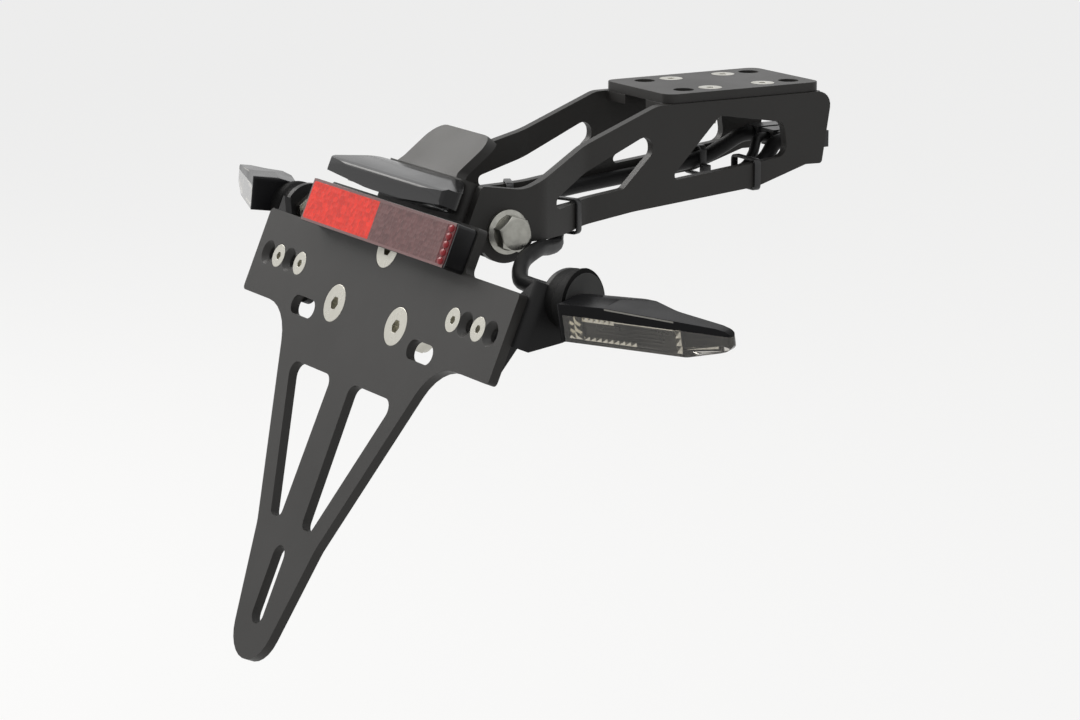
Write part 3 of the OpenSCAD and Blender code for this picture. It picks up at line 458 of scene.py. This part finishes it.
# Plate light: a glossy black duck-bill moulding, with a clear window in its underside and a
# small white lamp board behind the window.
settle(dressed("plate_light_housing", 0.0011, segments=4), "plate_light_housing", gloss_black)
clear = surface("clear_window", (0.95, 0.97, 0.98), specular=0.5, grain_scale=300, grain_depth=0.02,
                patch_scale=60, sheen_low=0.02, sheen_high=0.06, shade=0.03)
shader_of(clear).inputs["Transmission Weight"].default_value = 0.92
shader_of(clear).inputs["IOR"].default_value = 1.49
settle(dressed("plate_light_lens", 0.0002), "plate_light_lens", clear)
board_white = surface("lamp_board_white", (0.75, 0.75, 0.70), grain_scale=500, grain_depth=0.1,
                      patch_scale=200, sheen_low=0.45, sheen_high=0.6, shade=0.1)
settle(dressed("plate_light_board", 0.0001), "plate_light_board", board_white)


# Indicators: slim swept bodies in black plastic with smoked lenses, on round rubber feet. Each
# lens has silvered prisms behind it at its root, dark ribs along its length, then a thin bright
# facet and a dark panel with a bright lower edge at its tip.
stem_point = Vector((0.1195, -0.13668, -0.05927))
sweep = math.radians(21.7)
mirrors = {"right": Matrix.Identity(4), "left": Matrix.Diagonal((-1, 1, 1, 1))}


def indicator_place(side):
    """Where an indicator's own axes lie: along its length, across it and up."""
    turned, dropped, back = (8.5, 0.0019, 0.0083) if side == "right" else (-6, -0.0041, 0.0103)
    return (mirrors[side] @ Matrix.Translation(stem_point)
            @ Matrix.Rotation(math.radians(turned), 4, "X")
            @ Matrix.Translation((0, 0, -dropped))
            @ Matrix.Rotation(sweep, 4, "Z")
            @ Matrix.Translation((0, -back, 0)))


smoked = surface("smoked_lens", (0.66, 0.64, 0.60), specular=0.3, grain_scale=200, grain_depth=0.0,
                 patch_scale=90, sheen_low=0.0, sheen_high=0.02, shade=0.15)
shader_of(smoked).inputs["Transmission Weight"].default_value = 0.92
shader_of(smoked).inputs["IOR"].default_value = 1.4
lamp_black = surface("indicator_black", (0.008, 0.008, 0.009), specular=0.07, grain_scale=400,
                     grain_depth=0.05, patch_scale=40, sheen_low=0.2, sheen_high=0.3, shade=0.2)
mirror_silver = surface("silvered_prisms", (0.95, 0.92, 0.82), metallic=1.0, grain_scale=300,
                        grain_depth=0.05, patch_scale=400, sheen_low=0.1, sheen_high=0.22, shade=0.3)
smoke_ribs = surface("smoked_ribs", (0.070, 0.067, 0.060), metallic=0.8, grain_scale=300, grain_depth=0.05,
                     patch_scale=120, sheen_low=0.16, sheen_high=0.3, shade=0.5)
rubber = surface("stem_rubber", (0.005, 0.005, 0.005), specular=0.06, grain_scale=900, grain_depth=0.35,
                 patch_scale=60, sheen_low=0.5, sheen_high=0.65, shade=0.2)
# The foot's end face is the same black rubber as the stem, made lighter grey as painted light where it
# faces the lamps.
lit_face_rubber = surface("foot_face_painted_light_rubber", (0.030, 0.030, 0.029), specular=0.35, grain_scale=900,
                      grain_depth=0.35, patch_scale=60, sheen_low=0.55, sheen_high=0.7, shade=0.2)


def lamp_bar(name, side, along, high, back, slope, grid, raised, material):
    """A bar behind the lens, raised to a point in each cell; slope leans it back and down."""
    bpy.ops.mesh.primitive_grid_add(x_subdivisions=grid[0], y_subdivisions=grid[1], size=1)
    bar = bpy.context.object
    bar.name = name + "_" + side
    bpy.ops.object.mode_set(mode="EDIT")
    bpy.ops.mesh.select_all(action="SELECT")
    bpy.ops.mesh.poke(offset=raised)
    bpy.ops.object.mode_set(mode="OBJECT")
    wall = bar.modifiers.new("wall", "SOLIDIFY")
    wall.thickness = 0.0005
    wall.offset = -1
    bpy.ops.object.modifier_apply(modifier="wall")
    leaning = Matrix.Identity(4)
    leaning[1][0] = slope[0]
    leaning[2][0] = slope[1]
    bar.data.transform(Matrix.Diagonal((along[1] - along[0], high[1] - high[0], 1, 1)))
    place = indicator_place(side)
    bar.data.transform(place @ leaning @ Matrix.Translation((sum(along) / 2, back, sum(high) / 2))
                       @ Matrix.Rotation(math.pi / 2, 4, "X"))
    if place.determinant() < 0:
        bar.data.flip_normals()
    bpy.ops.object.select_all(action="DESELECT")
    bar.data.materials.append(material)
    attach(bar, "tilt")
    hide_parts("indicator_lamp_" + side)


# A light grey strip laid along the crease between the lid and the lens: a painted highlight standing in
# for the light caught on that edge.
painted_crease_highlight = surface("painted_crease_highlight", (0.36, 0.35, 0.32), specular=0.3, grain_scale=500,
                      grain_depth=0.05, patch_scale=300, sheen_low=0.25, sheen_high=0.4, shade=0.5)
half_across = 0.03
tip_start = 0.075
foot_rim = 0.0018
foot_oval = 1.076
tip_outline = ((-0.010, -0.012), (0.050, -0.012), (0.058, -0.0091), (0.0705, -0.0067),
               (0.0768, -0.0051), (0.0795, -0.0024), (0.0795, 0.0002), (0.0771, 0.0024),
               (0.0705, 0.0037), (0.022, 0.0075), (-0.010, 0.0100))
for side, neck in (("right", 0.0132), ("left", 0.0108)):
    bpy.ops.mesh.primitive_circle_add(vertices=len(tip_outline), radius=1, fill_type="NGON")
    blunt = bpy.context.object
    for corner, spot in zip(blunt.data.vertices, tip_outline):
        corner.co = (spot[0], half_across, spot[1])
        corner.select = spot[0] > tip_start
    bpy.ops.object.mode_set(mode="EDIT")
    bpy.ops.mesh.select_mode(type="VERT")
    bpy.ops.mesh.bevel(offset=0.0012, segments=4, affect="VERTICES")
    bpy.ops.mesh.select_all(action="SELECT")
    bpy.ops.mesh.extrude_region_move(TRANSFORM_OT_translate={"value": (0, -2 * half_across, 0)})
    bpy.ops.mesh.select_all(action="SELECT")
    bpy.ops.mesh.normals_make_consistent(inside=False)
    bpy.ops.object.mode_set(mode="OBJECT")
    place = indicator_place(side)
    blunt.data.transform(place)
    if place.determinant() < 0:
        blunt.data.flip_normals()
    settle(dressed("indicator_housing_" + side, 0.0008, segments=3, within=blunt),
           "indicator_housing_" + side, lamp_black)
    settle(dressed("indicator_lens_" + side, 0.0006, segments=3, within=blunt),
           "indicator_lens_" + side, smoked)
    bpy.data.objects.remove(blunt)
    for name, along, high, back, slope, grid, raised, material in (
            ("prisms", (0.0036, 0.0100), (-0.0062, 0.0026), -0.0062, (0, -0.03), (2, 3), 0.0014,
             mirror_silver),
            ("upper_row", (0.0104, 0.0250), (0.0008, 0.0028), -0.0060, (0, -0.03), (6, 1), 0.0007,
             mirror_silver),
            ("lower_row", (0.0104, 0.0345), (-0.0064, -0.0048), -0.0060, (0, -0.03), (9, 1), 0.0006,
             mirror_silver),
            ("ribs", (0.0104, 0.0526), (-0.0068, 0.0018), -0.0040, (0, -0.03), (1, 6), 0.0007,
             smoke_ribs),
            ("line", (0.0240, 0.0524), (0.0021, 0.0028), -0.0070, (0, -0.033), (1, 1), 0.0003,
             mirror_silver),
            # The crease strip is a painted highlight line.
            ("crease", (0.0230, 0.0540), (0.0082, 0.0088), -0.0095, (0, -0.0787), (1, 1), 0.0001,
             painted_crease_highlight),
            ("facet", (0.0526, 0.0552), (-0.0066, 0.0020), -0.0064, (0, -0.03), (1, 3), 0.0008,
             mirror_silver),
            ("end", (0.0735, 0.0778), (-0.0038, 0.0008), 0.0451, (-0.7, 0), (1, 1), 0.0001,
             smoke_ribs),
            ("tip", (0.0550, 0.0735), (-0.0057, 0.0014), 0.0092, (-0.212, 0), (1, 3), 0.0005,
             smoke_ribs),
            ("keel", (0.0530, 0.0735), (-0.0156, -0.0132), 0.0098, (-0.212, 0.135), (1, 1), 0.0002,
             smoke_ribs),
            ("streak", (0.0558, 0.0720), (-0.0145, -0.0135), 0.0064, (-0.19, 0.135), (1, 1), 0.0004,
             mirror_silver)):
        lamp_bar("indicator_" + name, side, along, high, back, slope, grid, raised, material)
    settle(dressed("indicator_stem_" + side, 0.0009, segments=4), "indicator_stem_" + side, rubber)
    stem_line = place.inverted() @ mirrors[side] @ stem_point
    across = place.inverted().to_3x3() @ Vector((1, 0, 0))
    middle = stem_line - across * (stem_line.x / across.x)
    # A thin disc over each foot's end face carries the painted light of that face.
    bpy.ops.mesh.primitive_cylinder_add(vertices=64, radius=neck - foot_rim, depth=0.0006)
    face = bpy.context.object
    face.name = "indicator_foot_face_" + side
    face.data.transform(place @ Matrix.Translation(middle) @ Matrix.Diagonal((1, foot_oval, 1, 1))
                        @ Matrix.Rotation(math.pi / 2, 4, "Y"))
    if place.determinant() < 0:
        face.data.flip_normals()
    rounding = face.modifiers.new("rounding", "BEVEL")
    rounding.width = 0.0002
    rounding.limit_method = "ANGLE"
    bpy.ops.object.modifier_apply(modifier="rounding")
    bpy.ops.object.shade_smooth_by_angle(angle=math.radians(30))
    face.data.materials.append(lit_face_rubber)
    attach(face, "tilt")
    bpy.ops.object.select_all(action="DESELECT")


# Leads: each indicator's sleeved lead leaves the hollow stud, hooks under the arm and runs on
# inside it, and the plate light's thinner lead runs between the arms. Each is one piece that
# runs past the pivot. A route's rows are its x, y, z and radius, in millimetres.
lead_black = surface("lead_sleeve_black", (0.010, 0.010, 0.0105), specular=0.18, grain_scale=800,
                     grain_depth=0.2, patch_scale=50, sheen_low=0.4, sheen_high=0.55, shade=0.2)
side_route = (
    (105, -136.7, -59.3, 2.2), (99, -136.7, -59.3, 2.2), (96.5, -136.7, -59.3, 3.2),
    (80.2, -136.7, -59.3, 3.2), (71.6, -136.1, -59.1, 3.2), (63, -131.8, -57.9, 3.2),
    (57.4, -128, -56.4, 3.2), (52.5, -123.6, -55.2, 3.2), (47, -116.6, -54, 3.2),
    (42, -110.2, -53.7, 3.2), (36, -102.5, -55, 3.2), (30, -96.2, -55.2, 3.2),
    (24.4, -92.7, -53.8, 3.2), (22, -90.6, -51.1, 3.2), (20.7, -88, -48.2, 3.2),
    (18.8, -83, -46.2, 3.2), (18.2, -75, -44.6, 3.2), (18.4, -57, -42.5, 3.2),
    (18.4, -25, -39.5, 3.2), (18.4, 3, -36, 3.2), (17, 13, -32, 3.2), (13.4, 20, -27, 3.2),
    (12, 24.5, -26, 3.2), (12, 29, -26, 3.2))
light_route = (
    (0, -143.2, -32.1, 2.2), (0, -136.3, -35, 2.2), (0, -129.5, -39.5, 2.2), (0, -124, -45, 2.2),
    (0, -122.6, -46.6, 2.2), (0.5, -114, -51, 2.2), (2, -102, -51, 2.2), (6, -86, -47.5, 2.2),
    (10, -68, -44, 2.2), (12.8, -50, -41.8, 2.2), (12.8, -15, -38.5, 2.2), (12.8, 4, -36, 2.2),
    (8, 13, -31.5, 2.2), (1, 20, -26.5, 2.2), (0, 24.5, -26, 2.2), (0, 29, -26, 2.2))


lead_step = 0.0015


def between(a, b, c, d, t):
    """A point of the smooth line through b and c, with a and d as its neighbours."""
    return 0.5 * (2 * b + (c - a) * t + (2 * a - 5 * b + 4 * c - d) * t * t
                  + (3 * b - a - 3 * c + d) * t ** 3)


def lead(name, route, hand, replaced):
    """A smooth tube along its route, from the tilting side to the fixed one."""
    points = [Vector((hand * x, y, z, r)) / 1000 for x, y, z, r in route]
    ends = [points[0]] + points + [points[-1]]
    line = []
    for i in range(len(points) - 1):
        gap = (points[i + 1].xyz - points[i].xyz).length
        steps = max(2, round(gap / lead_step))
        line += [between(*ends[i:i + 4], k / steps) for k in range(steps)]
    line.append(points[-1])
    curve = bpy.data.curves.new(name, "CURVE")
    curve.dimensions = "3D"
    curve.bevel_depth = 1
    curve.bevel_resolution = 5
    curve.use_fill_caps = True
    spline = curve.splines.new("POLY")
    spline.points.add(len(line) - 1)
    for spot, at in zip(spline.points, line):
        spot.co = (at.x, at.y, at.z, 1)
        spot.radius = at.w
    tube = bpy.data.objects.new(name, curve)
    bpy.context.scene.collection.objects.link(tube)
    bpy.context.view_layer.objects.active = tube
    tube.select_set(True)
    bpy.ops.object.convert(target="MESH")
    tube = bpy.context.object
    bpy.ops.object.shade_smooth_by_angle(angle=math.radians(50))
    bpy.ops.object.select_all(action="DESELECT")
    tube.data.materials.append(lead_black)
    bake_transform(tube)
    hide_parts(*replaced)


for side, hand in (("right", 1), ("left", -1)):
    lead("lead_" + side, side_route, hand,
         ("lead_loop_" + side, "lead_run_" + side))
lead("lead_light", light_route, 1,
     ("lead_loop_light", "lead_run_light"))


# Cable ties and connectors: black nylon ties hold the leads to each arm's lower rail, and the
# leads end in plain moulded connector blocks.
nylon = surface("black_nylon", (0.022, 0.022, 0.023), specular=0.45, grain_scale=600, grain_depth=0.15,
                patch_scale=80, sheen_low=0.32, sheen_high=0.45, shade=0.2)
tie_width = 0.003
tie_thick = 0.0011


def cable_tie(name, place, x0, x1, z0, z1):
    """A strap drawn round the box from x0 to x1 and z0 to z1, with its locking head inside."""
    bpy.ops.mesh.primitive_plane_add(size=1)
    strap = bpy.context.object
    strap.name = name
    strap.data.transform(Matrix.Translation(((x0 + x1) / 2, tie_width / 2, (z0 + z1) / 2))
                         @ Matrix.Rotation(math.pi / 2, 4, "X")
                         @ Matrix.Diagonal((x1 - x0 + tie_thick, z1 - z0 + tie_thick, 1, 1)))
    bpy.ops.object.mode_set(mode="EDIT")
    bpy.ops.mesh.select_all(action="SELECT")
    bpy.ops.mesh.bevel(offset=0.0017, segments=5, affect="VERTICES")
    bpy.ops.mesh.select_all(action="SELECT")
    bpy.ops.mesh.delete(type="ONLY_FACE")
    bpy.ops.mesh.select_all(action="SELECT")
    bpy.ops.mesh.extrude_edges_move(TRANSFORM_OT_translate={"value": (0, -tie_width, 0)})
    bpy.ops.object.mode_set(mode="OBJECT")
    wall = strap.modifiers.new("wall", "SOLIDIFY")
    wall.thickness = tie_thick
    wall.offset = 0
    bpy.ops.object.modifier_apply(modifier="wall")
    bpy.ops.object.mode_set(mode="EDIT")
    bpy.ops.mesh.select_all(action="SELECT")
    bpy.ops.mesh.normals_make_consistent(inside=False)
    bpy.ops.mesh.select_all(action="DESELECT")
    bpy.ops.object.mode_set(mode="OBJECT")
    bpy.ops.object.select_all(action="DESELECT")
    bpy.ops.mesh.primitive_cube_add(size=1)
    head = bpy.context.object
    head.data.transform(Matrix.Translation((x0 - tie_thick - 0.0012, 0, z0 + 0.0018))
                        @ Matrix.Diagonal((0.0030, tie_width + 0.001, 0.0045, 1)))
    strap.select_set(True)
    bpy.context.view_layer.objects.active = strap
    bpy.ops.object.join()
    rounding = strap.modifiers.new("rounding", "BEVEL")
    rounding.width = 0.0003
    rounding.segments = 2
    rounding.limit_method = "ANGLE"
    rounding.angle_limit = math.radians(40)
    bpy.ops.object.modifier_apply(modifier="rounding")
    bpy.ops.object.shade_smooth_by_angle(angle=math.radians(35))
    strap.data.transform(place)
    if place.determinant() < 0:
        strap.data.flip_normals()
    strap.data.materials.append(nylon)
    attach(strap, "root")
    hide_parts("cable_ties")
    bpy.ops.object.select_all(action="DESELECT")


rear_tie = Matrix.Translation((0.0282, -0.085, -0.0465)) @ Matrix.Rotation(math.radians(23.9), 4, "Z")
front_tie = Matrix.Translation((0, 0.003, -0.0465))
for side, inner in (("right", 0.0102), ("left", 0.0148)):
    cable_tie("rear_tie_" + side, mirrors[side] @ rear_tie, -0.0122, 0.0003, -0.0052, 0.0072)
    cable_tie("front_tie_" + side, mirrors[side] @ front_tie, inner, 0.0263, 0.0046, 0.0157)
settle(dressed("lead_connectors", 0.0006), "lead_connectors", nylon)
